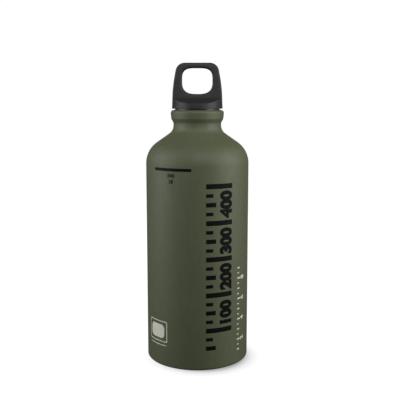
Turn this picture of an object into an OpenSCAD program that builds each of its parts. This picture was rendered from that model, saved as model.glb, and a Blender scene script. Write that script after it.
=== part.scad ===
// Camping fuel bottle: a seamless aluminium bottle with a threaded neck, closed by a
// push-and-turn cap whose outer shell carries a loop handle. Millimetres, +Z up,
// origin in the middle of the ring that the bottle stands on.

/* [Bottle body] */
// Outside diameter of the body
body_d = 73; // [66:1:84]
// Height from the table to the top of the neck's rim
bottle_h = 178.6; // [120:0.2:260]
// Wall of the body and the shoulder
body_wall = 0.8; // [0.6:0.1:1.4]
// Thickness of the base
base_t = 1.4; // [1:0.1:2.4]
// Radius of the outside corner between the side and the base
base_corner_r = 1.8; // [1.4:0.2:5]
// Height that the middle of the base is pushed up
base_rise = 5; // [3:0.5:9]
// Width of the flat ring that the bottle stands on
foot_w = 2.2; // [1:0.2:4]
// Slope of the shoulder, in degrees from horizontal
shoulder_slope = 35; // [28:1:42]
// Outside radius where the body turns into the shoulder
shoulder_r = 18; // [8:0.5:20]

/* [Neck and rim] */
// Outside diameter of the neck at its waist
neck_d = 33.8; // [31.5:0.1:35]
// Height of the neck, from where the shoulder's line meets it to the rim's top
neck_h = 14.3; // [13.5:0.1:20]
// Radius where the shoulder turns into the neck
neck_blend_r = 7; // [3:0.5:8]
// Largest outside diameter of the rim
rim_d = 38.1; // [37:0.1:40]
// Height of the rim's band, from its lower edge to its top
rim_band_h = 6; // [5:0.1:7]
// How much the band narrows towards its lower edge
rim_taper = 0.6; // [0:0.05:0.8]
// Height of the flare between the neck's waist and the band
rim_flare_h = 2.9; // [2:0.1:4]
// Radius on the rim's top outside edge
rim_round_r = 2; // [1:0.1:2.3]
// Radius where the waist turns into the flare
rim_waist_r = 3; // [1:0.1:3.4]

/* [Neck thread] */
// Bore of the neck, at the bottom of its thread
thread_d = 27.2; // [26:0.1:28]
// Height of a thread ridge, in the neck and on the plug
thread_ridge = 1; // [0.7:0.05:1.2]
// Rise of the thread in one turn
thread_pitch = 3; // [2.6:0.1:3.4]
// Width of a ridge at its foot
thread_foot_w = 1.5; // [1:0.05:1.6]
// Width of a ridge at its crest
thread_crest_w = 0.8; // [0.4:0.05:0.9]
// Turns of the thread in the neck
neck_turns = 2.6; // [1.5:0.1:2.8]
// Turns of the thread on the plug
plug_turns = 2.6; // [1.5:0.1:2.8]
// Gap between the plug's crests and the neck's bore
thread_clear = 0.4; // [0.3:0.05:0.5]
// Width of each vent slot down the plug's thread
vent_slot_w = 2.6; // [1.5:0.1:4]

/* [Neck seal] */
// Thickness of the sealing ring
seal_t = 2; // [1.6:0.1:2.2]
// Gap left round the sealing ring
seal_gap = 0.05; // [0.03:0.01:0.1]

/* [Screw plug] */
// Length of the plug's stem below its flange
stem_l = 14; // [12.5:0.5:18]
// Wall of the hollow stem
stem_wall = 1.9; // [1.2:0.1:2.6]
// Thickness of the plug's flange
flange_t = 1.2; // [0.9:0.1:1.6]
// Gap between the rim and the collar under the flange, which stops the seal from being crushed
collar_gap = 0.1; // [0.05:0.05:0.3]
// How far the lip at the collar's foot stays inside the cap's outside
lip_inset = 0.4; // [0.2:0.1:1]
// Gap between that lip and the cap's lower edge when the cap is pushed down
lip_gap = 0.05; // [0.05:0.05:0.1]
// Thickness of the cross web inside the stem
web_t = 1.2; // [0.8:0.1:2]
// Diameter of the snap stud on the plug
stud_d = 4.4; // [3.6:0.2:5]
// How far the stud's barb stands out all round
barb = 0.6; // [0.3:0.1:0.8]
// Height of the barb
barb_h = 1.5; // [1:0.1:2]

/* [Ratchet and spring] */
// Teeth on the plug and in the cap
teeth = 12; // [8:1:14]
// Width of a tooth, in degrees
tooth_angle = 10; // [6:1:10]
// Radial length of a tooth
tooth_l = 3; // [1.5:0.1:3.4]
// Height of a tooth on the plug
tooth_h = 0.5; // [0.4:0.1:1]
// Travel of the cap when it is pushed down
push_travel = 0.5; // [0.3:0.1:0.5]
// Gap between the teeth while the cap is up
tooth_gap = 0.15; // [0.1:0.05:0.4]
// Middle diameter of the wave spring
spring_d = 15; // [13:0.5:16]
// Width of the spring's strip
spring_w = 2; // [1:0.1:2.4]
// Thickness of the spring's strip
spring_t = 0.3; // [0.2:0.05:0.4]
// Waves round the spring
spring_waves = 3; // [2:1:4]

/* [Outer cap] */
// Outside diameter of the cap
cap_d = 33.6; // [32:0.1:34]
// Gap between the cap and the bottle's rim
cap_gap = 0.9; // [0.85:0.05:1.4]
// Wall of the cap's skirt
skirt_wall = 0.9; // [0.8:0.05:1.3]
// Clearance between the plug and the cap
cap_clear = 0.3; // [0.2:0.05:0.4]
// Height of the cap's front edge
cap_edge_h = 3.5; // [3.3:0.1:6]
// Slope of the ledges in front of and behind the loop, in degrees
ledge_slope = 17.5; // [12:0.5:24]

/* [Loop handle] */
// Height of the cap, from its lower edge to the top of the loop
cap_h = 31.9; // [31.5:0.1:40]
// How far the plate's foot stays above the cap's lower edge
plate_gap = 0.1; // [0.1:0.05:0.5]
// Width of the loop's plate at its lower end
loop_foot_w = 35.6; // [34:0.2:38]
// Width of the plate beside the lower half of the hole
loop_mid_w = 34.6; // [33:0.2:36]
// Width of the plate beside the upper half of the hole
loop_high_w = 32.8; // [31:0.2:34]
// Width of the plate at its top, before the corners are rounded
loop_top_w = 28.4; // [26:0.2:30]
// Radius of the plate's top corners
loop_corner_r = 6.5; // [3:0.5:7]
// Thickness of the plate where it leaves the ledges
loop_t = 9; // [8.6:0.1:11]
// Thickness of the plate at its top
loop_top_t = 7.2; // [5:0.1:8]
// Radius along the plate's top edges
loop_edge_r = 1.4; // [0.6:0.1:2]
// Width of the hole
hole_w = 21.4; // [16:0.2:23]
// Height of the hole
hole_h = 18; // [14:0.2:19]
// Radius of the hole's corners
hole_r = 7; // [3:0.5:8]
// Thickness of the loop above the hole
loop_bar = 3.6; // [3:0.1:5]

/* [Hidden] */
$fn = 96;
arc_step = 7.5;
tiny = 0.01;
sunk = 0.3;
thread_step = 10;
thread_fade = 40;

paint_green = [0.33, 0.36, 0.27];
plastic_black = [0.17, 0.17, 0.17];
rubber_black = [0.07, 0.07, 0.07];
spring_steel = [0.75, 0.76, 0.78];

// Bottle
body_r = body_d / 2;
neck_r = neck_d / 2;
rim_r = rim_d / 2;
bore_r = thread_d / 2;
neck_z = bottle_h - neck_h;
shoulder_z = neck_z - (body_r - neck_r) * tan(shoulder_slope);
foot_r = body_r - base_corner_r - foot_w;
dome_r = (foot_r * foot_r + base_rise * base_rise) / (2 * base_rise);
inner_cone_z = neck_z - body_wall / cos(shoulder_slope);
bore_low_z = inner_cone_z + (neck_r - bore_r) * tan(shoulder_slope);
inner_shoulder_z = inner_cone_z - (body_r - body_wall - neck_r) * tan(shoulder_slope);

// Seal: it lies on the 45 degree seat in the rim's mouth, against the stem and the flange
seal_r = seal_t / 2;
stem_r = bore_r - thread_clear - thread_ridge;
seal_mid_r = stem_r + seal_gap + seal_r;
seat_w = seal_mid_r + seal_r - bore_r;
seal_z = bottle_h - seat_w + (seal_mid_r - bore_r) + (seal_r + seal_gap) * sqrt(2);

// Plug and cap, from the seal upwards
flange_z = seal_z + seal_r + seal_gap;
flange_top_z = flange_z + flange_t;
stem_low_z = flange_z - stem_l;
cap_r = cap_d / 2;
cap_low_z = bottle_h + cap_gap;
cavity_r = cap_r - skirt_wall;
flange_r = cavity_r - cap_clear;
collar_low_z = bottle_h + collar_gap;
collar_in_r = seal_mid_r + seal_r + cap_clear;
lip_r = cap_r - lip_inset;
lip_top_z = cap_low_z - push_travel - lip_gap;
cap_tooth_low_z = flange_top_z + tooth_h + tooth_gap;
cap_tooth_h = tooth_h + tooth_gap;
ceiling_z = cap_tooth_low_z + cap_tooth_h;
tooth_out_r = flange_r - cap_clear;
tooth_in_r = tooth_out_r - tooth_l;
stud_r = stud_d / 2;
socket_r = stud_r + cap_clear / 2;
socket_floor_h = 1.4;
barb_z = ceiling_z + socket_floor_h + seal_gap;
chamber_r = stud_r + barb + cap_clear / 2;
chamber_top_z = barb_z + barb_h + push_travel + cap_clear;
spring_rise = ceiling_z - flange_top_z - spring_t - 2 * seal_gap;

// Loop
cap_top_z = cap_low_z + cap_h;
plate_low_z = cap_low_z + plate_gap;
ledge_z = cap_low_z + cap_edge_h + (cap_r - loop_t / 2) * tan(ledge_slope);
hole_z = cap_top_z - loop_bar - hole_h / 2;
hole_low_z = hole_z - hole_h / 2;

function unit(v) = v / norm(v);

// Points of the arc of radius r that rounds corner b between a and c
function corner_arc(a, b, c, r) =
    let (
        to_a = unit(a - b),
        to_c = unit(c - b),
        half = acos(max(-1, min(1, to_a * to_c))) / 2,
        middle = b + unit(to_a + to_c) * r / sin(half),
        from = b + to_a * r / tan(half) - middle,
        start = atan2(from[1], from[0]),
        side = sign((b - a)[0] * (c - b)[1] - (b - a)[1] * (c - b)[0]),
        sweep = side * (180 - 2 * half),
        steps = max(2, ceil(abs(sweep) / arc_step))
    )
    [for (i = [0 : steps]) middle + r * [cos(start + sweep * i / steps), sin(start + sweep * i / steps)]];

// A closed outline from corners given as [x, y, radius]; a radius of 0 keeps the corner sharp
function rounded(corners) =
    let (n = len(corners), at = function (i) [corners[i][0], corners[i][1]])
    [for (i = [0 : n - 1])
        each corners[i][2] == 0
            ? [at(i)]
            : corner_arc(at((i + n - 1) % n), at(i), at((i + 1) % n), corners[i][2])];

// The pushed-up base, from its middle out to the foot ring, raised by lift
function dome(lift) =
    let (edge = asin(foot_r / dome_r), steps = ceil(edge / (arc_step / 3)))
    [for (i = [0 : steps])
        [dome_r * sin(edge * i / steps), lift + base_rise - dome_r + dome_r * cos(edge * i / steps)]];

function backwards(list) = [for (i = [len(list) - 1 : -1 : 0]) list[i]];

// Half section of the bottle: foot, side, shoulder, neck and rim outside, then back down inside
module bottle_section() {
    band_z = bottle_h - rim_band_h;
    waist_z = band_z - rim_flare_h;
    side_wall = rounded([
        [foot_r, 0, 0],
        [body_r, 0, base_corner_r],
        [body_r, shoulder_z, shoulder_r],
        [neck_r, neck_z, neck_blend_r],
        [neck_r, waist_z, rim_waist_r],
        [rim_r - rim_taper, band_z, rim_waist_r / 2],
        [rim_r, bottle_h, rim_round_r],
        [bore_r + seat_w, bottle_h, 0],
        [bore_r, bottle_h - seat_w, 0],
        [bore_r, bore_low_z, body_wall],
        [body_r - body_wall, inner_shoulder_z, shoulder_r - body_wall],
        [body_r - body_wall, base_t, base_corner_r - body_wall],
        [foot_r, base_t, 0]
    ]);
    polygon(concat(side_wall, backwards(dome(base_t)), dome(0)));
}

// One unbroken thread ridge that climbs round the Z axis. way is 1 for a ridge that stands
// outwards from r, and -1 for one that stands inwards. The thread is turns long, and it dives
// back into the wall at both ends; the part of it from from_angle to to_angle is made.
module thread_ridge_on(r, way, turns, from_angle, to_angle) {
    count = ceil((to_angle - from_angle) / thread_step);
    flank = (thread_foot_w - thread_crest_w) / 2 / thread_ridge;
    foot = thread_foot_w / 2 + flank * sunk;
    rings = [for (i = [0 : count])
        let (
            a = from_angle + (to_angle - from_angle) * i / count,
            z = thread_pitch * a / 360,
            run = min(1, min(a, turns * 360 - a) / thread_fade),
            crest = thread_ridge * run - sunk / 2 * (1 - run)
        )
        for (p = [
            [-sunk, -foot],
            [crest, -thread_crest_w / 2],
            [crest, thread_crest_w / 2],
            [-sunk, foot]
        ])
        [(r + way * p[0]) * cos(a), (r + way * p[0]) * sin(a), z + p[1]]];
    n = 4;
    last = count * n;
    sides = [for (i = [0 : count - 1], k = [0 : n - 1])
        let (a = i * n + k, b = i * n + (k + 1) % n)
        each [[a, b, b + n], [a, b + n, a + n]]];
    faces = concat(sides, [[2, 1, 0], [3, 2, 0], [last, last + 1, last + 2], [last, last + 2, last + 3]]);
    polyhedron(rings, way > 0 ? faces : [for (f = faces) backwards(f)]);
}

module bottle_shell() {
    color(paint_green) {
        rotate_extrude() bottle_section();
        translate([0, 0, bore_low_z + thread_foot_w])
            thread_ridge_on(bore_r, -1, neck_turns, 0, neck_turns * 360);
    }
}

module neck_seal() {
    color(rubber_black)
        translate([0, 0, seal_z])
            rotate_extrude() translate([seal_mid_r, 0]) circle(seal_r);
}

// A ring of ratchet teeth, h tall, with its first tooth centred on first_angle
module tooth_ring(h, first_angle) {
    for (i = [0 : teeth - 1])
        rotate(first_angle + 360 / teeth * i - tooth_angle / 2)
            rotate_extrude(angle = tooth_angle)
                translate([tooth_in_r, 0]) square([tooth_l, h]);
}

// The plug's thread starts where the neck's thread has a gap, half a pitch below its ridge
module plug_thread() {
    climb = bore_low_z + thread_foot_w + thread_pitch / 2;
    slot_angle = 2 * asin(vent_slot_w / 2 / stem_r);
    runs = ceil(plug_turns * 2);
    translate([0, 0, climb])
        for (i = [0 : runs - 1])
            let (
                from = max(0, i * 180 + slot_angle / 2),
                to = min(plug_turns * 360, (i + 1) * 180 - slot_angle / 2)
            )
            if (to - from > arc_step)
                thread_ridge_on(stem_r, 1, plug_turns, from, to);
}

module thread_plug() {
    color(plastic_black) {
        difference() {
            union() {
                translate([0, 0, stem_low_z]) cylinder(r = stem_r, h = stem_l + tiny);
                difference() {
                    union() {
                        translate([0, 0, collar_low_z])
                            cylinder(r = flange_r, h = flange_top_z - collar_low_z);
                        translate([0, 0, collar_low_z])
                            cylinder(r = lip_r, h = lip_top_z - collar_low_z);
                    }
                    translate([0, 0, collar_low_z - 1])
                        cylinder(r = collar_in_r, h = flange_z - collar_low_z + 1);
                }
                translate([0, 0, flange_top_z - tiny])
                    cylinder(r = stud_r, h = barb_z + barb_h - flange_top_z);
                translate([0, 0, barb_z])
                    cylinder(r1 = stud_r + barb, r2 = stud_r - barb / 2, h = barb_h);
                translate([0, 0, flange_top_z - tiny]) tooth_ring(tooth_h + tiny, 0);
            }
            difference() {
                translate([0, 0, stem_low_z - tiny])
                    cylinder(r = stem_r - stem_wall, h = stem_l + tiny);
                for (turn = [0, 90])
                    rotate(turn)
                        translate([-stem_r, -web_t / 2, stem_low_z + web_t])
                            cube([2 * stem_r, web_t, stem_l]);
            }
            translate([-web_t / 2, -stud_d, ceiling_z])
                cube([web_t, 2 * stud_d, cap_h]);
        }
        plug_thread();
    }
}

// A flat strip bent into a ring of waves; z is its lowest point
module wave_ring(mid_r, strip_w, strip_t, rise, waves) {
    count = 24 * waves;
    rings = [for (i = [0 : count - 1])
        let (a = 360 * i / count, z = rise * (1 - cos(a * waves)) / 2)
        for (p = [[-0.5, 0], [0.5, 0], [0.5, 1], [-0.5, 1]])
        [(mid_r + strip_w * p[0]) * cos(a), (mid_r + strip_w * p[0]) * sin(a), z + strip_t * p[1]]];
    n = 4;
    total = count * n;
    polyhedron(rings, [for (i = [0 : count - 1], k = [0 : n - 1])
        let (a = i * n + k, b = i * n + (k + 1) % n, c = (b + n) % total, d = (a + n) % total)
        each [[a, c, b], [a, d, c]]]);
}

module wave_spring() {
    color(spring_steel)
        translate([0, 0, flange_top_z + seal_gap])
            wave_ring(spring_d / 2, spring_w, spring_t, spring_rise, spring_waves);
}

// Front outline of the loop's plate, in X and height
function plate_outline() =
    let (
        mid_z = hole_z - hole_h * 0.38,
        high_z = hole_z + hole_h * 0.04,
        right = [
            [loop_foot_w / 2, plate_low_z, 0],
            [loop_mid_w / 2, mid_z, loop_mid_w],
            [loop_high_w / 2, high_z, loop_mid_w],
            [loop_top_w / 2, cap_top_z, loop_corner_r]
        ],
        left = [for (p = backwards(right)) [-p[0], p[1], p[2]]]
    )
    rounded(concat(right, left));

function hole_outline() =
    rounded([
        [hole_w / 2, hole_low_z, hole_r],
        [hole_w / 2, hole_low_z + hole_h, hole_r],
        [-hole_w / 2, hole_low_z + hole_h, hole_r],
        [-hole_w / 2, hole_low_z, hole_r]
    ]);

// Side outline of the plate, which thins towards its top
function plate_side() =
    rounded([
        [loop_t / 2, plate_low_z, 0],
        [loop_t / 2, ledge_z, 0],
        [loop_top_t / 2, cap_top_z, loop_edge_r],
        [-loop_top_t / 2, cap_top_z, loop_edge_r],
        [-loop_t / 2, ledge_z, 0],
        [-loop_t / 2, plate_low_z, 0]
    ]);

// Extrudes an outline drawn in X and height through the whole depth of the cap
module through_depth() {
    rotate([90, 0, 0])
        translate([0, 0, -loop_foot_w]) linear_extrude(2 * loop_foot_w) children();
}

module loop_plate() {
    intersection() {
        through_depth() polygon(plate_outline());
        rotate([0, 0, 90]) through_depth() polygon(plate_side());
    }
}

// The round lower part of the cap, with its two sloping ledges
module cap_drum() {
    drop = (loop_foot_w - loop_t / 2) * tan(ledge_slope);
    intersection() {
        translate([0, 0, cap_low_z]) cylinder(r = cap_r, h = ledge_z - cap_low_z);
        rotate([0, 0, 90])
            through_depth()
                polygon([
                    [-loop_foot_w, cap_low_z - drop],
                    [loop_foot_w, cap_low_z - drop],
                    [loop_foot_w, ledge_z - drop],
                    [loop_t / 2, ledge_z],
                    [-loop_t / 2, ledge_z],
                    [-loop_foot_w, ledge_z - drop]
                ]);
    }
}

module outer_cap() {
    color(plastic_black) {
        difference() {
            union() {
                cap_drum();
                loop_plate();
            }
            translate([0, 0, cap_low_z - 1]) cylinder(r = cavity_r, h = ceiling_z - cap_low_z + 1);
            translate([0, 0, ceiling_z - tiny]) cylinder(r = socket_r, h = barb_z - ceiling_z);
            translate([0, 0, barb_z - seal_gap])
                cylinder(r = chamber_r, h = chamber_top_z - barb_z + seal_gap);
            through_depth() polygon(hole_outline());
        }
        translate([0, 0, cap_tooth_low_z])
            tooth_ring(cap_tooth_h + tiny, 180 / teeth);
    }
}

bottle_shell();
neck_seal();
thread_plug();
wave_spring();
outer_cap();
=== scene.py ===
# %% [markdown]
# # A green fuel bottle with a black loop cap
# This lesson dresses a bottle that was built to size in a CAD program. The CAD solids arrive as
# a fixed frame: they say how big each piece is and how it moves, and they are never changed
# here. What this script adds is the look: smooth meshes, finishes, prints, light and a camera.
# Each step first says what the real thing is, then makes it.

# %% Load the frame
import math

import bmesh
import bpy
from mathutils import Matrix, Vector


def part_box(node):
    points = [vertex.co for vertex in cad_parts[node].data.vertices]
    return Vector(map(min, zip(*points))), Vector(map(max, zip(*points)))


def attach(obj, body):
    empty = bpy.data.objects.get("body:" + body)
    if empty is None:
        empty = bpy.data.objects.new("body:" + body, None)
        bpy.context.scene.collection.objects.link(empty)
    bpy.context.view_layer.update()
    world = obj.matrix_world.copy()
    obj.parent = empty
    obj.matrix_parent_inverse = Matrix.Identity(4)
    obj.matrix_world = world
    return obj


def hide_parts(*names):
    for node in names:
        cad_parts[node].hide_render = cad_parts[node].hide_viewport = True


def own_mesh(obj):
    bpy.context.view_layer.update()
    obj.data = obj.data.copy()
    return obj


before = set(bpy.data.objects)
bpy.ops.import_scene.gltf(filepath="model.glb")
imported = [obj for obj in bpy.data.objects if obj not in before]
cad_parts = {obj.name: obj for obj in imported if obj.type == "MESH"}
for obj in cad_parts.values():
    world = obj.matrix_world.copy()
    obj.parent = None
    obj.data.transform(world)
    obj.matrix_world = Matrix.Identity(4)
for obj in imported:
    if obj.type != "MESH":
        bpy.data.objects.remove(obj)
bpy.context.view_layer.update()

# %% [markdown]
# ## Sizes
# Blender works in metres, but a bottle is drawn in millimetres, so every size below is a number
# of millimetres times `mm`. The large sizes are read from the frame, so that the meshes here
# can't drift away from the solids. The small ones, such as a corner's radius, are named values.

# %% Sizes of the bottle and the cap
mm = 0.001
shell_low, shell_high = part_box("bottle_shell")
cap_low, cap_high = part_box("outer_cap")

body_r = shell_high.x
bottle_h = shell_high.z
cap_bottom = cap_low.z
cap_top = cap_high.z
cap_r = cap_high.y
print("body", body_r, "bottle height", bottle_h, "cap from", cap_bottom, "to", cap_top)

# %% [markdown]
# ## Rounded outlines
# Nearly every edge of a pressed or moulded product is rounded. Rather than list the points of
# each curve, an outline here is a short list of corners, each with a radius, and one function
# turns the corners into arcs. A finer arc step only makes the curve smoother, never different.

# %% A helper that rounds corners
ARC_STEP = math.radians(4)


def corner_arc(before, corner, after, radius):
    """Points of the arc that rounds one corner of a flat outline."""
    to_before = (Vector(before) - Vector(corner)).normalized()
    to_after = (Vector(after) - Vector(corner)).normalized()
    half = math.acos(max(-1.0, min(1.0, to_before.dot(to_after)))) / 2
    middle = Vector(corner) + (to_before + to_after).normalized() * radius / math.sin(half)
    start = Vector(corner) + to_before * radius / math.tan(half) - middle
    turn = math.pi - 2 * half
    if to_before.x * to_after.y - to_before.y * to_after.x > 0:
        turn = -turn
    steps = max(2, math.ceil(abs(turn) / ARC_STEP))
    first = math.atan2(start.y, start.x)
    return [
        (middle.x + radius * math.cos(first + turn * i / steps),
         middle.y + radius * math.sin(first + turn * i / steps))
        for i in range(steps + 1)
    ]


def rounded(corners):
    """A closed outline from corners (x, y, radius); a radius of 0 keeps a corner sharp."""
    points = []
    for i, (x, y, radius) in enumerate(corners):
        if radius == 0:
            points.append((x, y))
            continue
        before = corners[i - 1][:2]
        after = corners[(i + 1) % len(corners)][:2]
        points.extend(corner_arc(before, (x, y), after, radius))
    return points


# %% [markdown]
# ## From a node tree to a plain mesh
# Geometry Nodes build shapes that follow a rule. A modifier that holds a node tree stays live,
# which is handy at a desk but not for export, so each result is turned into a plain mesh once.
# The inputs of the tree are set by the identifiers of its sockets before that.

# %% Helpers for node trees and meshes
MERGE_DISTANCE = 0.0005 * mm
scene = bpy.context.scene


def link(obj):
    scene.collection.objects.link(obj)
    return obj


def mesh_object(name, points, faces=(), edges=()):
    mesh = bpy.data.meshes.new(name)
    mesh.from_pydata([tuple(p) for p in points], list(edges), [tuple(f) for f in faces])
    return link(bpy.data.objects.new(name, mesh))


def new_tree(name, inputs):
    """An empty geometry tree with a geometry input and the named inputs."""
    tree = bpy.data.node_groups.new(name, "GeometryNodeTree")
    face = tree.interface
    face.new_socket("Geometry", in_out="INPUT", socket_type="NodeSocketGeometry")
    for label, kind in inputs:
        face.new_socket(label, in_out="INPUT", socket_type="NodeSocket" + kind)
    face.new_socket("Geometry", in_out="OUTPUT", socket_type="NodeSocketGeometry")
    return tree


def add(tree, kind, settings=None, **inputs):
    """A node of that kind; an input is a value, or a socket that is linked to it."""
    node = tree.nodes.new(kind)
    for key, value in (settings or {}).items():
        setattr(node, key, value)
    for key, value in inputs.items():
        label = key.replace("_", " ")
        index = int(label[2:]) if label.startswith("in") and label[2:].isdigit() else None
        socket = node.inputs[index if index is not None else label]
        if isinstance(value, bpy.types.NodeSocket):
            tree.links.new(value, socket)
        else:
            socket.default_value = value
    return node


def math_node(tree, operation, a, b=0.0):
    return add(tree, "ShaderNodeMath", {"operation": operation}, in0=a, in1=b).outputs[0]


def grid_place(tree, rows):
    """Which column and row of a grid a point is in; the points are numbered column by column."""
    index = tree.nodes.new("GeometryNodeInputIndex").outputs[0]
    past = math_node(tree, "ADD", index, 0.5)
    column = math_node(tree, "FLOOR", math_node(tree, "DIVIDE", past, rows))
    row = math_node(tree, "SUBTRACT", index, math_node(tree, "MULTIPLY", column, rows))
    return column, row


def finish_tree(tree, geometry, material):
    """Ends a tree in Realize Instances and Set Material."""
    real = add(tree, "GeometryNodeRealizeInstances", Geometry=geometry).outputs[0]
    painted = add(tree, "GeometryNodeSetMaterial", Geometry=real, Material=material)
    out = tree.nodes.new("NodeGroupOutput")
    tree.links.new(painted.outputs[0], out.inputs[0])


def run_tree(obj, tree, **values):
    """Runs a tree on an object and leaves its result as the object's own plain mesh."""
    modifier = obj.modifiers.new(tree.name, "NODES")
    modifier.node_group = tree
    names = {s.name: s.identifier for s in tree.interface.items_tree
             if s.item_type == "SOCKET" and s.in_out == "INPUT"}
    for key, value in values.items():
        modifier[names[key.replace("_", " ")]] = value
    return apply_all(obj)


def apply_all(obj):
    """Replaces the object's mesh by what its modifiers make, and removes them.

    On a mesh without materials, Set Material leaves an empty slot in front of its own.
    """
    bpy.context.view_layer.update()
    graph = bpy.context.evaluated_depsgraph_get()
    result = bpy.data.meshes.new_from_object(obj.evaluated_get(graph))
    obj.modifiers.clear()
    old = obj.data
    obj.data = result
    bpy.data.meshes.remove(old)
    result.name = obj.name
    if len(result.materials) > 1 and result.materials[0] is None:
        result.materials.pop(index=0)
    return obj


def outward(obj, sharp_degrees=30):
    """Merges doubles, turns all faces outwards and shades smooth except at sharp edges."""
    bm = bmesh.new()
    bm.from_mesh(obj.data)
    bmesh.ops.remove_doubles(bm, verts=bm.verts, dist=MERGE_DISTANCE)
    bmesh.ops.recalc_face_normals(bm, faces=bm.faces)
    bm.to_mesh(obj.data)
    bm.free()
    obj.data.shade_smooth()
    obj.data.set_sharp_from_angle(angle=math.radians(sharp_degrees))
    return obj


# %% [markdown]
# ## Round faces that look round
# Booleans and CAD leave a cylinder as long thin triangles, whose averaged normals shade in
# stripes. The true normal of an upright cylinder is known: it points straight away from the
# axis, or straight to it in a bore. So upright faces with all their corners at one radius get
# it, and level faces get their own normal at every corner.

# %% Normals of upright cylinders and level faces
SAME_RADIUS = 0.01 * mm
UPRIGHT = 0.01
LEVEL = 0.9999
ROUND_ENOUGH = 0.9


def true_round(obj, least_radius=0.0):
    """Gives upright cylinders round Z, and level faces, the normals of the real shape."""
    mesh = obj.data
    normals = [(0, 0, 0)] * len(mesh.loops)
    for face in mesh.polygons:
        places = [mesh.vertices[i].co.to_2d() for i in face.vertices]
        radii = [place.length for place in places]
        if abs(face.normal.z) > LEVEL:
            for loop in face.loop_indices:
                normals[loop] = tuple(face.normal)
        one_radius = max(radii) - min(radii) < SAME_RADIUS and min(radii) > least_radius
        if abs(face.normal.z) > UPRIGHT or not one_radius:
            continue
        facing = [face.normal.to_2d().dot(place) / r for place, r in zip(places, radii)]
        if min(facing) > ROUND_ENOUGH or max(facing) < -ROUND_ENOUGH:
            for loop, place in zip(face.loop_indices, places):
                normal = place.normalized() * math.copysign(1, facing[0])
                normals[loop] = (normal.x, normal.y, 0)
    mesh.normals_split_custom_set(normals)
    return obj


print("normals of zero are left as Blender works them out")

# %% [markdown]
# ## Surface effects shared by several finishes
# A powder coat, a moulded plastic and an ink all have a fine grain, and all of them pick up
# slight rubbing when they are handled. Both effects are made once, as shader node groups with
# named inputs, and every material uses them with its own values. The groups give out only
# numbers; the shader itself stays in each material.

# %% The grain and handling groups


def shader_group(name, inputs, outputs):
    group = bpy.data.node_groups.new(name, "ShaderNodeTree")
    for label, kind, value in inputs:
        socket = group.interface.new_socket(label, in_out="INPUT", socket_type="NodeSocket" + kind)
        if value is not None:
            socket.default_value = value
    for label, kind in outputs:
        group.interface.new_socket(label, in_out="OUTPUT", socket_type="NodeSocket" + kind)
    return group


def make_grain_group():
    """Height of a grainy surface: small pimples over a slower orange-peel swell."""
    group = shader_group(
        "fine_grain",
        [("Vector", "Vector", None), ("Grain Size", "Float", 0.3), ("Swell Size", "Float", 1.2),
         ("Swell Share", "Float", 0.5)],
        [("Height", "Float"), ("Mottle", "Float")],
    )
    source = group.nodes.new("NodeGroupInput")
    per_metre = math_node(group, "DIVIDE", 1 / mm, source.outputs["Grain Size"])
    slow_scale = math_node(group, "DIVIDE", 1 / mm, source.outputs["Swell Size"])
    grain = add(group, "ShaderNodeTexNoise", Vector=source.outputs["Vector"],
                Scale=per_metre, Detail=2.0, Roughness=0.6)
    swell = add(group, "ShaderNodeTexNoise", Vector=source.outputs["Vector"],
                Scale=slow_scale, Detail=1.0, Roughness=0.4)
    both = add(group, "ShaderNodeMix", in0=source.outputs["Swell Share"],
               in2=grain.outputs[0], in3=swell.outputs[0])
    out = group.nodes.new("NodeGroupOutput")
    group.links.new(both.outputs[0], out.inputs["Height"])
    group.links.new(swell.outputs[0], out.inputs["Mottle"])
    return group


def make_handling_group():
    """How much a place was rubbed: broad patches broken up by short upright streaks."""
    group = shader_group(
        "handling",
        [("Vector", "Vector", None), ("Patch Size", "Float", 25.0), ("Amount", "Float", 0.5)],
        [("Rubbed", "Float")],
    )
    source = group.nodes.new("NodeGroupInput")
    patch_scale = math_node(group, "DIVIDE", 1 / mm, source.outputs["Patch Size"])
    patches = add(group, "ShaderNodeTexNoise", Vector=source.outputs["Vector"],
                  Scale=patch_scale, Detail=3.0, Roughness=0.5)
    flat = add(group, "ShaderNodeMapping", Vector=source.outputs["Vector"], Scale=(1.0, 1.0, 0.25))
    streak_scale = math_node(group, "MULTIPLY", patch_scale, 9.0)
    streaks = add(group, "ShaderNodeTexNoise", Vector=flat.outputs[0],
                  Scale=streak_scale, Detail=2.0, Roughness=0.5)
    product = math_node(group, "MULTIPLY", patches.outputs[0], streaks.outputs[0])
    spread = add(group, "ShaderNodeMapRange", Value=product, From_Min=0.18, From_Max=0.42)
    scaled = math_node(group, "MULTIPLY", spread.outputs[0], source.outputs["Amount"])
    out = group.nodes.new("NodeGroupOutput")
    group.links.new(scaled, out.inputs["Rubbed"])
    return group


fine_grain = make_grain_group()
handling = make_handling_group()

# %% [markdown]
# ## Finishes
# `finish` builds one Principled material from a colour, a roughness and the two shared groups.
# The colour varies a little from place to place, rubbing makes the surface slightly smoother
# and paler, and the grain feeds a Bump node whose distance is a real depth in metres.

# %% The finish builder and the materials


def srgb(hex_colour):
    """A colour written as in a paint chart, such as 4b503e, as linear numbers."""
    parts = [int(hex_colour[i:i + 2], 16) / 255 for i in (0, 2, 4)]
    linear = [p / 12.92 if p < 0.04045 else ((p + 0.055) / 1.055) ** 2.4 for p in parts]
    return (*linear, 1.0)


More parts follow.
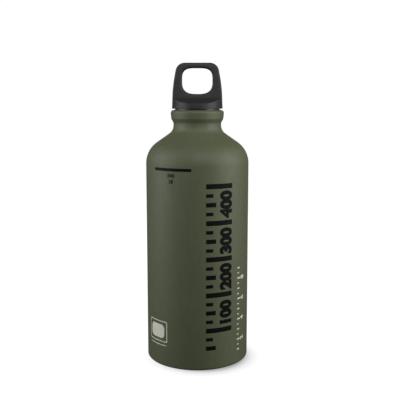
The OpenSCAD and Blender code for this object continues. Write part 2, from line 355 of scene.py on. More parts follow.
def finish(name, colour, pale, roughness, smooth, grain, depth, metal=0.0, specular=0.5):
    """colour to pale is the spread of the colour; roughness to smooth that of the gloss."""
    material = bpy.data.materials.new(name)
    material.use_nodes = True
    tree = material.node_tree
    shader = next(n for n in tree.nodes if n.type == "BSDF_PRINCIPLED")
    place = tree.nodes.new("ShaderNodeTexCoord").outputs["Object"]
    texture = add(tree, "ShaderNodeGroup", {"node_tree": fine_grain}, Vector=place,
                  Grain_Size=grain, Swell_Size=grain * 4, Swell_Share=0.5)
    wear = add(tree, "ShaderNodeGroup", {"node_tree": handling}, Vector=place, Amount=0.5)
    mottle = add(tree, "ShaderNodeMapRange", Value=texture.outputs["Mottle"],
                 From_Min=0.3, From_Max=0.7, To_Min=0.0, To_Max=0.35)
    share = math_node(tree, "ADD", mottle.outputs[0], wear.outputs["Rubbed"])
    tint = add(tree, "ShaderNodeMix", {"data_type": "RGBA"}, in0=share, in6=colour, in7=pale)
    tree.links.new(tint.outputs[2], shader.inputs["Base Color"])
    gloss = add(tree, "ShaderNodeMapRange", Value=share, To_Min=roughness, To_Max=smooth)
    tree.links.new(gloss.outputs[0], shader.inputs["Roughness"])
    bump = add(tree, "ShaderNodeBump", Strength=1.0, Distance=depth,
               Height=texture.outputs["Height"])
    tree.links.new(bump.outputs[0], shader.inputs["Normal"])
    shader.inputs["Metallic"].default_value = metal
    shader.inputs["Specular IOR Level"].default_value = specular
    return material


green_coat = finish("green_coat", srgb("494e39"), srgb("50553e"), 0.60, 0.52, 0.35, 0.004 * mm,
                    specular=0.35)
bare_metal = finish("bare_aluminium", srgb("c9cbcc"), srgb("dadcdd"), 0.34, 0.26, 0.12,
                    0.001 * mm, metal=1.0)
black_plastic = finish("black_plastic", srgb("222222"), srgb("292929"), 0.56, 0.48, 0.25,
                       0.004 * mm, specular=0.32)
plug_plastic = finish("plug_plastic", srgb("232323"), srgb("2a2a2a"), 0.42, 0.36, 0.3,
                      0.003 * mm)
rubber = finish("seal_rubber", srgb("161616"), srgb("1c1c1c"), 0.6, 0.52, 0.3, 0.003 * mm)
spring_steel = finish("spring_steel", srgb("b9bbbe"), srgb("cfd1d3"), 0.3, 0.22, 0.1,
                      0.0005 * mm, metal=1.0)
black_ink = finish("black_ink", srgb("050505"), srgb("0a0a0a"), 0.6, 0.54, 0.3, 0.003 * mm,
                   specular=0.08)
white_ink = finish("white_ink", srgb("bdc0b2"), srgb("c8cabe"), 0.55, 0.48, 0.3, 0.003 * mm,
                   specular=0.3)

# %% [markdown]
# ## The bottle: a lathe made of nodes
# The real bottle is pressed from one slug of aluminium, and every part of it is round about one
# axis. So its half section is drawn once and turned. The node tree lays out a grid, gives each
# column of the grid an angle and each row a point of the section, and turns the point by the
# angle. The section closes on itself through the wall, so that the bottle is really hollow.

# %% The lathe tree


def make_lathe_tree():
    tree = new_tree("lathe", [("Rows", "Int"), ("Segments", "Int"), ("Material", "Material")])
    source = tree.nodes.new("NodeGroupInput")
    rows, segments = source.outputs["Rows"], source.outputs["Segments"]
    columns = math_node(tree, "ADD", segments, 1.0)
    grid = add(tree, "GeometryNodeMeshGrid", Vertices_X=columns, Vertices_Y=rows)
    column, row = grid_place(tree, rows)
    place = tree.nodes.new("GeometryNodeInputPosition").outputs[0]
    kind = {"data_type": "FLOAT_VECTOR", "domain": "POINT"}
    section = add(tree, "GeometryNodeSampleIndex", kind, Geometry=source.outputs["Geometry"],
                  Value=place, Index=row)
    angle = math_node(tree, "MULTIPLY", math_node(tree, "DIVIDE", column, segments), 2 * math.pi)
    turned = add(tree, "ShaderNodeVectorRotate", {"rotation_type": "Z_AXIS"},
                 Vector=section.outputs[0], Angle=angle)
    moved = add(tree, "GeometryNodeSetPosition", Geometry=grid.outputs[0],
                Position=turned.outputs[0])
    joined = add(tree, "GeometryNodeMergeByDistance", Geometry=moved.outputs[0],
                 Distance=MERGE_DISTANCE)
    finish_tree(tree, joined.outputs[0], source.outputs["Material"])
    return tree


lathe = make_lathe_tree()


def turned_piece(name, section, material, segments=192):
    """A solid of revolution from a half section of (radius, height) points."""
    obj = mesh_object(name, [(r, 0, z) for r, z in section])
    run_tree(obj, lathe, Rows=len(section), Segments=segments, Material=material)
    return outward(obj)


# %% [markdown]
# ## The bottle's section
# The numbers are those of a drawn bottle: a thin wall, a thicker base that is pushed up in the
# middle, a round shoulder, a cone, a waist, and a rolled rim whose mouth has a slanted seat for
# the sealing ring. The paint stops at the mouth, and the inside is bare metal.

# %% Half section and skin of the bottle
BODY_WALL = 0.8 * mm
BASE_T = 1.4 * mm
BASE_CORNER_R = 1.8 * mm
BASE_RISE = 5 * mm
FOOT_W = 2.2 * mm
SHOULDER_SLOPE = math.tan(math.radians(35))
SHOULDER_R = 18 * mm
NECK_R = 16.9 * mm
NECK_H = 14.3 * mm
NECK_BLEND_R = 7 * mm
RIM_R = 19.05 * mm
RIM_BAND_H = 6.0 * mm
RIM_TAPER = 0.6 * mm
RIM_FLARE_H = 2.9 * mm
RIM_ROUND_R = 2 * mm
RIM_WAIST_R = 3 * mm
BORE_R = 13.6 * mm
SEAT_W = 0.65 * mm

neck_z = bottle_h - NECK_H
shoulder_z = neck_z - (body_r - NECK_R) * SHOULDER_SLOPE
foot_r = body_r - BASE_CORNER_R - FOOT_W
dome_r = (foot_r ** 2 + BASE_RISE ** 2) / (2 * BASE_RISE)
inner_r = body_r - BODY_WALL
wall_on_cone = BODY_WALL * math.hypot(1, SHOULDER_SLOPE)
inner_shoulder_z = neck_z - wall_on_cone - (inner_r - NECK_R) * SHOULDER_SLOPE
bore_low_z = neck_z - wall_on_cone + (NECK_R - BORE_R) * SHOULDER_SLOPE


def dome(lift, outwards):
    """The pushed-up base as an arc between its middle and the foot ring."""
    edge = math.asin(foot_r / dome_r)
    steps = 16
    arc = [(dome_r * math.sin(edge * i / steps),
            lift + BASE_RISE - dome_r + dome_r * math.cos(edge * i / steps))
           for i in range(steps + 1)]
    return arc if outwards else arc[::-1]


def bottle_section():
    band_z = bottle_h - RIM_BAND_H
    outside = rounded([
        (foot_r, 0, 0),
        (body_r, 0, BASE_CORNER_R),
        (body_r, shoulder_z, SHOULDER_R),
        (NECK_R, neck_z, NECK_BLEND_R),
        (NECK_R, band_z - RIM_FLARE_H, RIM_WAIST_R),
        (RIM_R - RIM_TAPER, band_z, RIM_WAIST_R / 2),
        (RIM_R, bottle_h, RIM_ROUND_R),
        (BORE_R + SEAT_W, bottle_h, 0),
        (BORE_R, bottle_h - SEAT_W, 0),
        (BORE_R, bore_low_z, BODY_WALL),
        (inner_r, inner_shoulder_z, SHOULDER_R - BODY_WALL),
        (inner_r, BASE_T, BASE_CORNER_R - BODY_WALL),
        (foot_r, BASE_T, 0),
    ])
    return dome(0, True)[:-1] + outside + dome(BASE_T, False)[1:]


bottle_skin = turned_piece("bottle_skin", bottle_section(), green_coat)


def bare_inside(obj, bare, mouth_r):
    """Gives the faces that look into the bottle the bare metal."""
    obj.data.materials.append(bare)
    for face in obj.data.polygons:
        centre = face.center
        radius = math.hypot(centre.x, centre.y)
        looks_in = face.normal.x * centre.x + face.normal.y * centre.y < -1e-9
        above_base = centre.z > BASE_T / 2
        in_mouth = radius < mouth_r and centre.z > neck_z
        floor_inside = face.normal.z > 0.5 and centre.z < BASE_T + BASE_RISE + mm
        if (looks_in and above_base and face.normal.z > -0.99 and not is_underside(face)) \
                or in_mouth or floor_inside:
            face.material_index = 1


def is_underside(face):
    """The dome's outer face looks down, and its inner face looks up."""
    return face.normal.z < 0 and face.center.z < BASE_T + BASE_RISE


bare_inside(bottle_skin, bare_metal, BORE_R + SEAT_W + 0.5 * mm)
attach(bottle_skin, "bottle")
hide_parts("bottle_shell")
print("bottle_skin has", len(bottle_skin.data.vertices), "points")

# %% [markdown]
# ## The thread: a ridge that climbs
# A screw thread is one ridge wound round an axis. The tree uses the same idea as the lathe: a
# grid, where the columns now also climb. At both ends the ridge sinks back into the wall, as a
# moulded or rolled thread does. Here the tree makes the ridge inside the neck, which stands
# inwards; its Inwards input can also turn a ridge to stand outwards.

# %% The thread tree
PITCH = 3 * mm
RIDGE = 1 * mm
RIDGE_FOOT = 1.5 * mm
RIDGE_CREST = 0.8 * mm
THREAD_TURNS = 2.6
SUNK = 0.3 * mm
FADE_TURNS = 1 / 9
SECTION_ROWS = 5


def make_thread_tree():
    tree = new_tree("thread", [
        ("Radius", "Float"), ("Inwards", "Float"), ("Start Height", "Float"), ("Turns", "Float"),
        ("From Turn", "Float"), ("To Turn", "Float"), ("Steps", "Int"), ("Material", "Material"),
    ])
    given = tree.nodes.new("NodeGroupInput").outputs
    columns = math_node(tree, "ADD", given["Steps"], 1.0)
    grid = add(tree, "GeometryNodeMeshGrid", Vertices_X=columns, Vertices_Y=SECTION_ROWS)
    column, row = grid_place(tree, float(SECTION_ROWS))
    share = math_node(tree, "DIVIDE", column, given["Steps"])
    span = math_node(tree, "SUBTRACT", given["To Turn"], given["From Turn"])
    turn = math_node(tree, "ADD", given["From Turn"], math_node(tree, "MULTIPLY", share, span))
    left = math_node(tree, "SUBTRACT", given["Turns"], turn)
    near_end = math_node(tree, "MINIMUM", turn, left)
    run = math_node(tree, "MINIMUM", math_node(tree, "DIVIDE", near_end, FADE_TURNS), 1.0)
    crest = math_node(tree, "MULTIPLY", run, RIDGE + SUNK / 2)
    crest = math_node(tree, "SUBTRACT", crest, SUNK / 2)
    # The rows are the section's corners: foot, crest, crest, foot, and the first foot again.
    is_crest = math_node(tree, "COMPARE", row, 1.5)
    tree.nodes[-1].inputs[2].default_value = 0.6
    is_upper = math_node(tree, "COMPARE", row, 2.5)
    tree.nodes[-1].inputs[2].default_value = 0.6
    out_by = add(tree, "ShaderNodeMix", in0=is_crest, in2=-SUNK, in3=crest).outputs[0]
    half = add(tree, "ShaderNodeMix", in0=is_crest, in2=RIDGE_FOOT / 2 + SUNK * 0.35,
               in3=RIDGE_CREST / 2).outputs[0]
    side = math_node(tree, "SUBTRACT", math_node(tree, "MULTIPLY", is_upper, 2.0), 1.0)
    height = math_node(tree, "ADD", math_node(tree, "MULTIPLY", turn, PITCH),
                       math_node(tree, "MULTIPLY", half, side))
    height = math_node(tree, "ADD", height, given["Start Height"])
    radius = math_node(tree, "MULTIPLY", out_by, given["Inwards"])
    radius = math_node(tree, "ADD", given["Radius"], radius)
    place = add(tree, "ShaderNodeCombineXYZ", X=radius, Z=height)
    angle = math_node(tree, "MULTIPLY", turn, 2 * math.pi)
    turned = add(tree, "ShaderNodeVectorRotate", {"rotation_type": "Z_AXIS"},
                 Vector=place.outputs[0], Angle=angle)
    moved = add(tree, "GeometryNodeSetPosition", Geometry=grid.outputs[0],
                Position=turned.outputs[0])
    finish_tree(tree, moved.outputs[0], given["Material"])
    return tree


thread = make_thread_tree()
STEPS_PER_TURN = 72


def thread_piece(name, radius, inwards, start, from_turn, to_turn, material):
    obj = mesh_object(name, [])
    run_tree(obj, thread, Radius=radius, Inwards=inwards, Start_Height=start,
             Turns=THREAD_TURNS, From_Turn=from_turn, To_Turn=to_turn,
             Steps=max(4, round((to_turn - from_turn) * STEPS_PER_TURN)), Material=material)
    bm = bmesh.new()
    bm.from_mesh(obj.data)
    bmesh.ops.remove_doubles(bm, verts=bm.verts, dist=MERGE_DISTANCE)
    bmesh.ops.holes_fill(bm, edges=[e for e in bm.edges if e.is_boundary], sides=8)
    bm.to_mesh(obj.data)
    bm.free()
    return outward(obj)


neck_thread = thread_piece("neck_thread", BORE_R, -1.0, bore_low_z + RIDGE_FOOT, 0, THREAD_TURNS,
                           bare_metal)
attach(neck_thread, "bottle")
print("neck_thread has", len(neck_thread.data.vertices), "points")

# %% [markdown]
# ## The outer cap: an outline, a section and two cuts
# The cap is one moulding: a low drum with two sloping ledges, and a flat plate that stands on
# it and has a large rounded hole. The plate is lofted as a ring: at every point round the hole,
# a rounded section joins the hole's edge to the plate's edge. That gives true rounded edges
# with clean faces, which a bevel on a cut plate seldom does. The drum is turned on the lathe,
# its top is then sloped, and the three are joined and hollowed with booleans.

# %% Outlines of the plate and its hole
LOOP_FOOT_W = cap_high.x * 2
LOOP_MID_W = 34.6 * mm
LOOP_HIGH_W = 32.8 * mm
LOOP_TOP_W = 28.4 * mm
LOOP_CORNER_R = 6.5 * mm
LOOP_T = 9 * mm
LOOP_TOP_T = 7.2 * mm
EDGE_R = 1.2 * mm
HOLE_W = 21.4 * mm
HOLE_H = 18 * mm
HOLE_POWER_HIGH = 3.5
HOLE_POWER_LOW = 2.8
LOOP_BAR = 3.6 * mm
PLATE_GAP = 0.1 * mm
FOOT_TRIM = 2 * mm
LEDGE_SLOPE = math.tan(math.radians(17.5))
CAP_EDGE_H = 3.5 * mm

hole_z = cap_top - LOOP_BAR - HOLE_H / 2
plate_low_z = cap_bottom + PLATE_GAP
waist_z = hole_z - HOLE_H * 0.38
foot_z = plate_low_z - FOOT_TRIM
foot_x = (LOOP_FOOT_W + (LOOP_FOOT_W - LOOP_MID_W) * FOOT_TRIM / (waist_z - plate_low_z)) / 2
ledge_z = cap_bottom + CAP_EDGE_H + (cap_r - LOOP_T / 2) * LEDGE_SLOPE


def plate_outline():
    right = [
        (foot_x, foot_z, 0),
        (LOOP_MID_W / 2, waist_z, LOOP_MID_W),
        (LOOP_HIGH_W / 2, hole_z + HOLE_H * 0.04, LOOP_MID_W),
        (LOOP_TOP_W / 2, cap_top, LOOP_CORNER_R),
    ]
    left = [(-x, z, r) for x, z, r in reversed(right)]
    return rounded(right + left)


def hole_outline():
    """A rounded square with bowed sides; its lower corners are rounder than its upper ones."""
    points = []
    for i in range(120):
        a = math.radians(3 * i)
        power = HOLE_POWER_HIGH if math.sin(a) > 0 else HOLE_POWER_LOW
        across, up = abs(math.cos(a)) ** (2 / power), abs(math.sin(a)) ** (2 / power)
        points.append((math.copysign(across, math.cos(a)) * HOLE_W / 2,
                       hole_z + math.copysign(up, math.sin(a)) * HOLE_H / 2))
    return points


def ray_hit(outline, angle):
    """Where a ray from the hole's middle at that angle meets a closed outline."""
    way = Vector((math.cos(angle), math.sin(angle)))
    best = 0
    for i, (x0, z0) in enumerate(outline):
        x1, z1 = outline[(i + 1) % len(outline)]
        a = Vector((x0, z0 - hole_z))
        edge = Vector((x1 - x0, z1 - z0))
        cross = way.x * edge.y - way.y * edge.x
        if abs(cross) < 1e-12:
            continue
        along = (a.x * edge.y - a.y * edge.x) / cross
        share = (a.x * way.y - a.y * way.x) / cross
        if along > 0 and -1e-6 <= share <= 1 + 1e-6:
            best = max(best, along)
    return way * best + Vector((0, hole_z))


def half_thickness(z):
    """The plate thins evenly from the ledges to its top."""
    share = max(0.0, min(1.0, (z - ledge_z) / (cap_top - ledge_z)))
    return (LOOP_T + (LOOP_TOP_T - LOOP_T) * share) / 2


# %% [markdown]
# At each angle the section runs from the hole's wall over the front face to the outer wall and
# back. The offsets are taken square to the outlines, so the roundings keep their radius.

# %% Loft the plate
FACE_STEPS = 3
ROUND_STEPS = 5


def outline_normals(points):
    """Unit normals of a closed outline that runs counter-clockwise, pointing outwards."""
    normals = []
    for i in range(len(points)):
        along = (points[(i + 1) % len(points)] - points[i - 1]).normalized()
        normals.append(Vector((along.y, -along.x)))
    return normals


def plate_section(hole_point, hole_normal, edge_point, edge_normal):
    """Points of the front half of the section, as (flat position, distance from mid plane)."""
    points = []
    for i in range(ROUND_STEPS + 1):
        a = math.pi / 2 * i / ROUND_STEPS
        flat = hole_point + hole_normal * EDGE_R * (1 - math.cos(a))
        points.append((flat, EDGE_R * (math.sin(a) - 1)))
    start = hole_point + hole_normal * EDGE_R
    end = edge_point - edge_normal * EDGE_R
    for i in range(1, FACE_STEPS):
        points.append((start.lerp(end, i / FACE_STEPS), 0.0))
    for i in range(ROUND_STEPS + 1):
        a = math.pi / 2 * i / ROUND_STEPS
        flat = end + edge_normal * EDGE_R * math.sin(a)
        points.append((flat, EDGE_R * (math.cos(a) - 1)))
    return points


def loft_plate(name):
    outer_line, hole_line = plate_outline(), hole_outline()
    corner = math.atan2(foot_z - hole_z, foot_x)
    angles = sorted([math.radians(3 * i) - math.pi for i in range(120)]
                    + [corner, -math.pi - corner])
    edge = [ray_hit(outer_line, a) for a in angles]
    hole = [ray_hit(hole_line, a) for a in angles]
    edge_normals, hole_normals = outline_normals(edge), outline_normals(hole)
    points, width = [], 0
    for h, hn, e, en in zip(hole, hole_normals, edge, edge_normals):
        front = plate_section(h, hn, e, en)
        ring = [(p.x, -(half_thickness(p.y) + off), p.y) for p, off in front]
        ring += [(x, -y, z) for x, y, z in reversed(ring)]
        width = len(ring)
        points.extend(ring)
    count = len(angles)
    faces = [(i * width + k, i * width + (k + 1) % width,
              (i + 1) % count * width + (k + 1) % width, (i + 1) % count * width + k)
             for i in range(count) for k in range(width)]
    return outward(mesh_object(name, points, faces))


loop_plate = loft_plate("loop_plate")
print("loop_plate has", len(loop_plate.data.vertices), "points")

# %% [markdown]
# The drum's top is a low roof whose ridge hides inside the plate. The tool that hollows the cap
# is turned too: the wide room for the plug's flange, and the stepped hole for its snap stud. A
# ring of twelve teeth hangs from the ceiling of that room; pushed down, they catch the plug's.

# %% The drum, the hollow and the teeth
SKIRT_WALL = 0.9 * mm
DRUM_EDGE_R = 0.5 * mm
CEILING_H = 3.135 * mm
SOCKET_R = 2.35 * mm
SOCKET_H = 1.4 * mm
CHAMBER_R = 2.95 * mm
CHAMBER_H = 2.35 * mm
TEETH = 12
TOOTH_ANGLE = 10
TOOTH_L = 3 * mm
TOOTH_MID_R = 13.8 * mm
TOOTH_H = 0.65 * mm
TOOTH_SUNK = 0.1 * mm

roof_z = ledge_z + LOOP_T / 2 * LEDGE_SLOPE
wall_top_z = roof_z - DRUM_EDGE_R


def drum():
    section = [(0, roof_z)]
    section += [(cap_r * share, roof_z) for share in (0.25, 0.5, 0.75, 0.9)]
    section += rounded([(0, 0, 0), (0, roof_z, 0), (cap_r, roof_z, DRUM_EDGE_R),
                        (cap_r, cap_bottom, DRUM_EDGE_R / 2), (0, cap_bottom, 0)])[2:]
    obj = turned_piece("drum", section, black_plastic, segments=160)
    for vertex in obj.data.vertices:
        if vertex.co.z > wall_top_z - 0.01 * mm:
            vertex.co.z -= abs(vertex.co.y) * LEDGE_SLOPE
    return obj


def hollow():
    ceiling = cap_bottom + CEILING_H
    cavity_r = cap_r - SKIRT_WALL
    chamber = ceiling + SOCKET_H
    section = [
        (0, cap_bottom - mm), (cavity_r, cap_bottom - mm), (cavity_r, ceiling),
        (SOCKET_R, ceiling), (SOCKET_R, chamber), (CHAMBER_R, chamber),
        (CHAMBER_R, chamber + CHAMBER_H), (0, chamber + CHAMBER_H),
    ]
    return turned_piece("hollow", section, black_plastic, segments=160)


def foot_slab():
    """What cuts the plate's foot off flat, a little above the drum's lower edge."""
    low, reach = foot_z - mm, LOOP_FOOT_W
    return turned_piece("foot_slab", [(0, low), (reach, low), (reach, plate_low_z),
                                      (0, plate_low_z)], black_plastic)


def make_teeth_tree():
    """Bends one block to its place on a ring, and puts copies of it all the way round."""
    tree = new_tree("ring_of_teeth", [
        ("Count", "Int"), ("Size", "Vector"), ("Radius", "Float"), ("Height", "Float"),
        ("First Angle", "Float"), ("Material", "Material"),
    ])
    given = tree.nodes.new("NodeGroupInput").outputs
    block = add(tree, "GeometryNodeMeshCube", Size=given["Size"], Vertices_X=2, Vertices_Y=7,
                Vertices_Z=2)
    place = tree.nodes.new("GeometryNodeInputPosition").outputs[0]
    flat = add(tree, "ShaderNodeSeparateXYZ", Vector=place)
    radius = math_node(tree, "ADD", flat.outputs[0], given["Radius"])
    height = math_node(tree, "ADD", flat.outputs[2], given["Height"])
    bent = add(tree, "ShaderNodeCombineXYZ", X=radius, Z=height)
    angle = math_node(tree, "DIVIDE", flat.outputs[1], given["Radius"])
    turned = add(tree, "ShaderNodeVectorRotate", {"rotation_type": "Z_AXIS"},
                 Vector=bent.outputs[0], Angle=angle)
    tooth = add(tree, "GeometryNodeSetPosition", Geometry=block.outputs[0],
                Position=turned.outputs[0])
    axis_points = add(tree, "GeometryNodeMeshLine", Count=given["Count"], Offset=(0, 0, 0))
    index = tree.nodes.new("GeometryNodeInputIndex").outputs[0]
    share = math_node(tree, "DIVIDE", index, given["Count"])
    way = math_node(tree, "MULTIPLY", share, 2 * math.pi)
    way = math_node(tree, "ADD", way, given["First Angle"])
    spin = add(tree, "ShaderNodeCombineXYZ", Z=way)
    ring = add(tree, "GeometryNodeInstanceOnPoints", Points=axis_points.outputs[0],
               Instance=tooth.outputs[0], Rotation=spin.outputs[0])
    finish_tree(tree, ring.outputs[0], given["Material"])
    return tree


def tooth_ring():
    """The teeth hang from the ceiling, into which they are sunk a little to join it."""
    low = cap_bottom + CEILING_H - TOOTH_H
    size = (TOOTH_L, math.radians(TOOTH_ANGLE) * TOOTH_MID_R, TOOTH_H + TOOTH_SUNK)
    return outward(run_tree(mesh_object("tooth_ring", []), make_teeth_tree(), Count=TEETH,
                            Size=size, Radius=TOOTH_MID_R, Height=low + size[2] / 2,
                            First_Angle=math.pi / TEETH, Material=black_plastic))


def combine(base, operation, tool):
    """One boolean between closed meshes; the tool is used up."""
    modifier = base.modifiers.new(operation, "BOOLEAN")
    modifier.operation = operation
    modifier.solver = "MANIFOLD"
    modifier.object = tool
    apply_all(base)
    bpy.data.objects.remove(tool)
    return base


cap_shell = combine(drum(), "UNION", combine(loop_plate, "DIFFERENCE", foot_slab()))
cap_shell = combine(cap_shell, "DIFFERENCE", hollow())
cap_shell = combine(cap_shell, "UNION", tooth_ring())
cap_shell.name = "cap_shell"
true_round(outward(cap_shell, 32), cap_r - SKIRT_WALL - SAME_RADIUS)
cap_shell.data.materials.clear()
cap_shell.data.materials.append(black_plastic)
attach(cap_shell, "cap")
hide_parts("outer_cap")
print("cap_shell has", len(cap_shell.data.vertices), "points")

# %% [markdown]
# ## The small pieces that stay as CAD made them
# The plug, the sealing ring and the spring are hidden until the cap is screwed off. Their CAD
# shapes are right already, so they only need finishes. A CAD mesh is loose triangles, so a copy
# of the plug is merged first, which lets its curved faces shade smoothly.


def smooth_copy(node, name, material, body, sharp_degrees=30):
    obj = link(bpy.data.objects.new(name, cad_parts[node].data.copy()))
    obj.data.materials.clear()
    obj.data.materials.append(material)
    true_round(outward(obj, sharp_degrees))
    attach(obj, body)
    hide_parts(node)
    return obj


smooth_copy("thread_plug", "screw_plug", plug_plastic, "plug")
smooth_copy("neck_seal", "sealing_ring", rubber, "seal", 60)
wave_washer = smooth_copy("wave_spring", "wave_washer", spring_steel, "spring",
                          50)
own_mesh(wave_washer)

# %% [markdown]
# ## Prints: flat art that is wrapped round the body
# The real bottle is screen printed: ink lies on the coat as a film a few hundredths of a
# millimetre thick. Each print is drawn flat, as on the printer's screen, and then wrapped. Across
# the screen is an arc length, so it becomes an angle, and a film's thickness above the coat is
# added to the radius. The tree first divides long faces, so that they can follow the curve.

# %% The wrapping tree
INK_T = 0.04 * mm


def make_wrap_tree():
    tree = new_tree("wrap_round", [("Radius", "Float"), ("Azimuth", "Float"), ("Cuts", "Int"),
                                   ("Material", "Material")])
    given = tree.nodes.new("NodeGroupInput").outputs
    divided = add(tree, "GeometryNodeSubdivideMesh", Mesh=given["Geometry"], Level=given["Cuts"])
    place = tree.nodes.new("GeometryNodeInputPosition").outputs[0]
    flat = add(tree, "ShaderNodeSeparateXYZ", Vector=place)
    angle = math_node(tree, "DIVIDE", flat.outputs[0], given["Radius"])
    angle = math_node(tree, "ADD", angle, given["Azimuth"])
    across = math_node(tree, "MULTIPLY", math_node(tree, "SINE", angle), given["Radius"])
    depth = math_node(tree, "MULTIPLY", math_node(tree, "COSINE", angle), given["Radius"])
    depth = math_node(tree, "MULTIPLY", depth, -1.0)
    round_place = add(tree, "ShaderNodeCombineXYZ", X=across, Y=depth, Z=flat.outputs[2])
    moved = add(tree, "GeometryNodeSetPosition", Geometry=divided.outputs[0],
                Position=round_place.outputs[0])
    finish_tree(tree, moved.outputs[0], given["Material"])
    return tree


wrap_round = make_wrap_tree()


def print_on_body(obj, ink, azimuth_degrees, cuts):
    """Wraps flat art, drawn in X and Z about X = 0, onto the body's straight side."""
    run_tree(obj, wrap_round, Radius=body_r + INK_T, Azimuth=math.radians(azimuth_degrees),
             Cuts=cuts, Material=ink)
    obj.data.shade_smooth()
    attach(obj, "bottle")
    print(obj.name, "has", len(obj.data.polygons), "faces")
    return obj


# %% [markdown]
# ## Scales: bars that repeat
# A volume scale is one bar, repeated at an even step, with longer bars at every second and
# fourth place. The tree puts points on a line and an instance of one flat bar on each, and
# works out each bar's size from its number in the row. The step comes from the bottle: a given
# volume divided by the area inside the body.

# %% The tree of the scales
LONG_EVERY = 4
MIDDLE_EVERY = 2


def make_scale_tree():
    tree = new_tree("scale_bars", [
        ("Count", "Int"), ("First", "Float"), ("Step", "Float"), ("Long", "Vector"),
        ("Middle", "Vector"), ("Short", "Vector"), ("Material", "Material"),
    ])
    given = tree.nodes.new("NodeGroupInput").outputs
    start = add(tree, "ShaderNodeCombineXYZ", Z=given["First"])
    offset = add(tree, "ShaderNodeCombineXYZ", Z=given["Step"])
    line = add(tree, "GeometryNodeMeshLine", Count=given["Count"],
               Start_Location=start.outputs[0], Offset=offset.outputs[0])
    index = tree.nodes.new("GeometryNodeInputIndex").outputs[0]
    size = given["Short"]
    for every, label in ((MIDDLE_EVERY, "Middle"), (LONG_EVERY, "Long")):
        rest = math_node(tree, "MODULO", index, float(every))
        is_this = math_node(tree, "LESS_THAN", rest, 0.5)
        size = add(tree, "ShaderNodeMix", {"data_type": "VECTOR"}, in0=is_this, in4=size,
                   in5=given[label]).outputs[1]
    bar = add(tree, "GeometryNodeMeshGrid", Size_X=1.0, Size_Y=1.0, Vertices_X=9, Vertices_Y=2)
    stood = add(tree, "GeometryNodeTransform", Geometry=bar.outputs[0],
                Translation=(0.5, 0, 0), Rotation=(math.pi / 2, 0, 0))
    bars = add(tree, "GeometryNodeInstanceOnPoints", Points=line.outputs[0],
               Instance=stood.outputs[0], Scale=size)
    finish_tree(tree, bars.outputs[0], given["Material"])
    return tree


scale_bars = make_scale_tree()

# %% [markdown]
# ## Numbers
# Numbers are set in Blender's own plain font. A text object is a curve, so it is filled and
# turned into a mesh first, and only then stood up and moved to its place on the flat art.

# %% Flat art helpers


def number_art(text, height, middle_x, middle_z, bold, upright=True):
    """Points and faces of a number of that height, centred; turned, it reads upwards."""
    curve = bpy.data.curves.new("number", "FONT")
    curve.body = text
    curve.resolution_u = 4
    curve.offset = bold
    obj = link(bpy.data.objects.new("number", curve))
    bpy.context.view_layer.update()
    graph = bpy.context.evaluated_depsgraph_get()
    mesh = bpy.data.meshes.new_from_object(obj.evaluated_get(graph))
    xs = [v.co.x for v in mesh.vertices]
    ys = [v.co.y for v in mesh.vertices]
    grow = height / (max(ys) - min(ys))
    flat = [((v.co.x - (max(xs) + min(xs)) / 2) * grow, (v.co.y - (max(ys) + min(ys)) / 2) * grow)
            for v in mesh.vertices]
    if not upright:
        flat = [(-y, x) for x, y in flat]
    points = [(x + middle_x, 0, z + middle_z) for x, z in flat]
    faces = [tuple(p.vertices) for p in mesh.polygons]
    bpy.data.objects.remove(obj)
    bpy.data.curves.remove(curve)
    bpy.data.meshes.remove(mesh)
    return points, faces


def rectangle_art(left, low, right, high, columns=16):
    """A bar in columns, so that it can follow the curve of the body."""
    points = [(left + (right - left) * i / columns, 0, z)
              for i in range(columns + 1) for z in (low, high)]
    return points, [(2 * i, 2 * i + 2, 2 * i + 3, 2 * i + 1) for i in range(columns)]


def patch_art(left, low, right, high, radius):
    """A filled rounded rectangle, as a fan round its middle."""
    edge = rounded([(right, low, radius), (right, high, radius), (left, high, radius),
                    (left, low, radius)])
    points = [(x, 0, z) for x, z in edge] + [((left + right) / 2, 0, (low + high) / 2)]
    return points, [(i, (i + 1) % len(edge), len(edge)) for i in range(len(edge))]


def frame_art(left, low, right, high, radius, line_w):
    """A rounded frame: two outlines with the same number of points, joined by faces."""
    outer = rounded([(right, low, radius), (right, high, radius), (left, high, radius),
                     (left, low, radius)])
    inner = rounded([(right - line_w, low + line_w, radius - line_w),
                     (right - line_w, high - line_w, radius - line_w),
                     (left + line_w, high - line_w, radius - line_w),
                     (left + line_w, low + line_w, radius - line_w)])
    count = len(outer)
    points = [(x, 0, z) for x, z in outer + inner]
    faces = [(i, (i + 1) % count, count + (i + 1) % count, count + i) for i in range(count)]
    return points, faces


def join_art(name, arts):
    points, faces = [], []
    for art_points, art_faces in arts:
        faces += [tuple(i + len(points) for i in face) for face in art_faces]
        points += art_points
    return mesh_object(name, points, faces)


def scale_object(name, ink, count, first, step, sizes):
    long_bar, middle_bar, short_bar = [(w, 1.0, t) for w, t in sizes]
    return run_tree(mesh_object(name, []), scale_bars, Count=count, First=first, Step=step,
                    Long=long_bar, Middle=middle_bar, Short=short_bar, Material=ink)


# %% [markdown]
# ## The prints on this bottle
# The big black scale takes the place and the weight of the large print on such a bottle, and
# counts hundreds of millilitres. The fine white scale beside it counts fluid ounces. High on the
# left a black bar shows how far to fill, and low on the left a white frame leaves room to write.

# %% Print both scales, the filling line and the write-on frame
inside_area = math.pi * inner_r ** 2
base_volume = math.pi * BASE_RISE * (3 * foot_r ** 2 + BASE_RISE ** 2) / 6
empty_z = BASE_T + base_volume / inside_area
MILLILITRE = 1e-6
OUNCE = 29.574 * MILLILITRE


def level(volume):
    return empty_z + volume / inside_area


